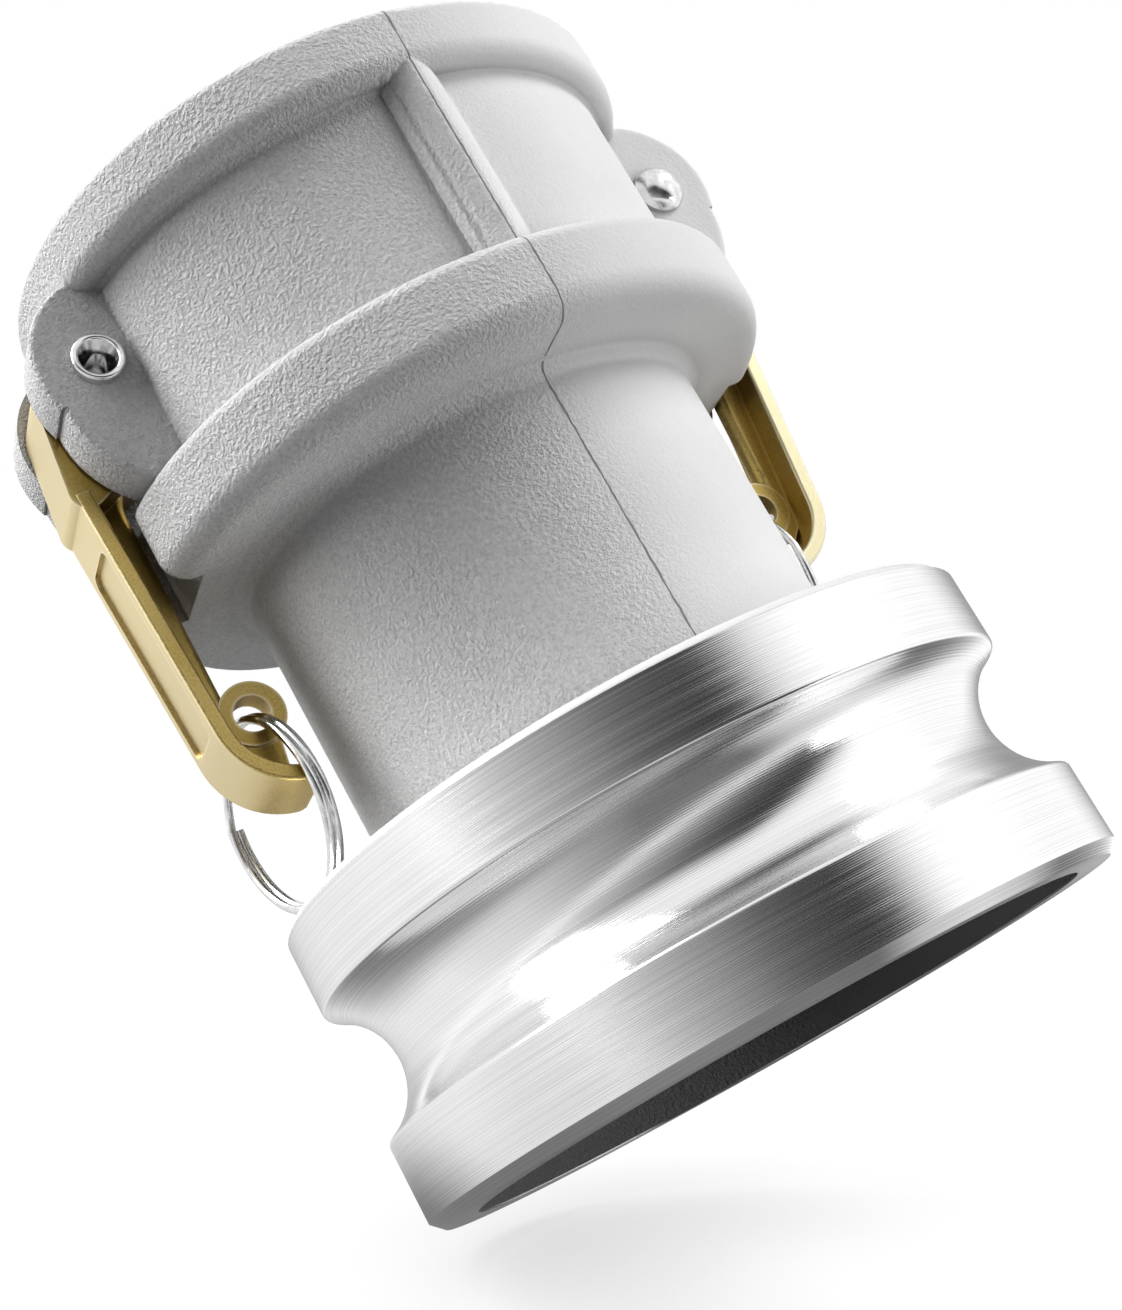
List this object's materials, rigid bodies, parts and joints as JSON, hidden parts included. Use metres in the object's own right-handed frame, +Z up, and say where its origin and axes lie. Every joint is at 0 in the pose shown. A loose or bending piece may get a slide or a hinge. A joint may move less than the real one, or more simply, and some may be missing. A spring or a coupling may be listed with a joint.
{
  "type": "camlock reducing adapter",
  "caption": "Reducing hose fitting with a lever-locked female socket at one end, a larger grooved male adapter at the other, cam levers and pull rings.",
  "frame": {"origin": "centre of the adapter's end face, on the waterway's axis", "axes": "+Z up the waterway to the coupler's mouth, +X to the lever called right"},
  "size_m": [0.0959, 0.0914, 0.1222],
  "materials": {
    "cast_aluminium": "as cast and blasted, with a turned adapter end",
    "gasket_rubber": "moulded nitrile rubber",
    "lever_brass": "satin cast brass",
    "bright_steel": "bright stainless steel"
  },
  "bodies": {
    "body": {"body_casting": "cast_aluminium", "gasket": "gasket_rubber", "pin_left": "bright_steel", "pin_right": "bright_steel"},
    "lever_left": {"cam_arm_left": "lever_brass"},
    "lever_right": {"cam_arm_right": "lever_brass"},
    "ring_left": {"split_ring_left": "bright_steel"},
    "ring_right": {"split_ring_right": "bright_steel"}
  },
  "joints": [
    {"name": "lever_left_hinge", "type": "hinge", "parent": "body", "child": "lever_left", "pos_m": [-0.0402, 0, 0.1046], "axis": [0, 1, 0], "range_deg": [-5, 113]},
    {"name": "ring_left_swing", "type": "hinge", "parent": "lever_left", "child": "ring_left", "pos_m": [-0.03931, 0, 0.0614], "axis": [-0.1908, 0.9816, 0], "range_deg": [-3, 120]},
    {"name": "lever_right_hinge", "type": "hinge", "parent": "body", "child": "lever_right", "pos_m": [0.0402, 0, 0.1046], "axis": [0, -1, 0], "range_deg": [0, 118]},
    {"name": "ring_right_swing", "type": "hinge", "parent": "lever_right", "child": "ring_right", "pos_m": [0.03555, 0, 0.06164], "axis": [-0.2068, -0.9781, 0.0217], "range_deg": [-1, 120]}
  ]
}
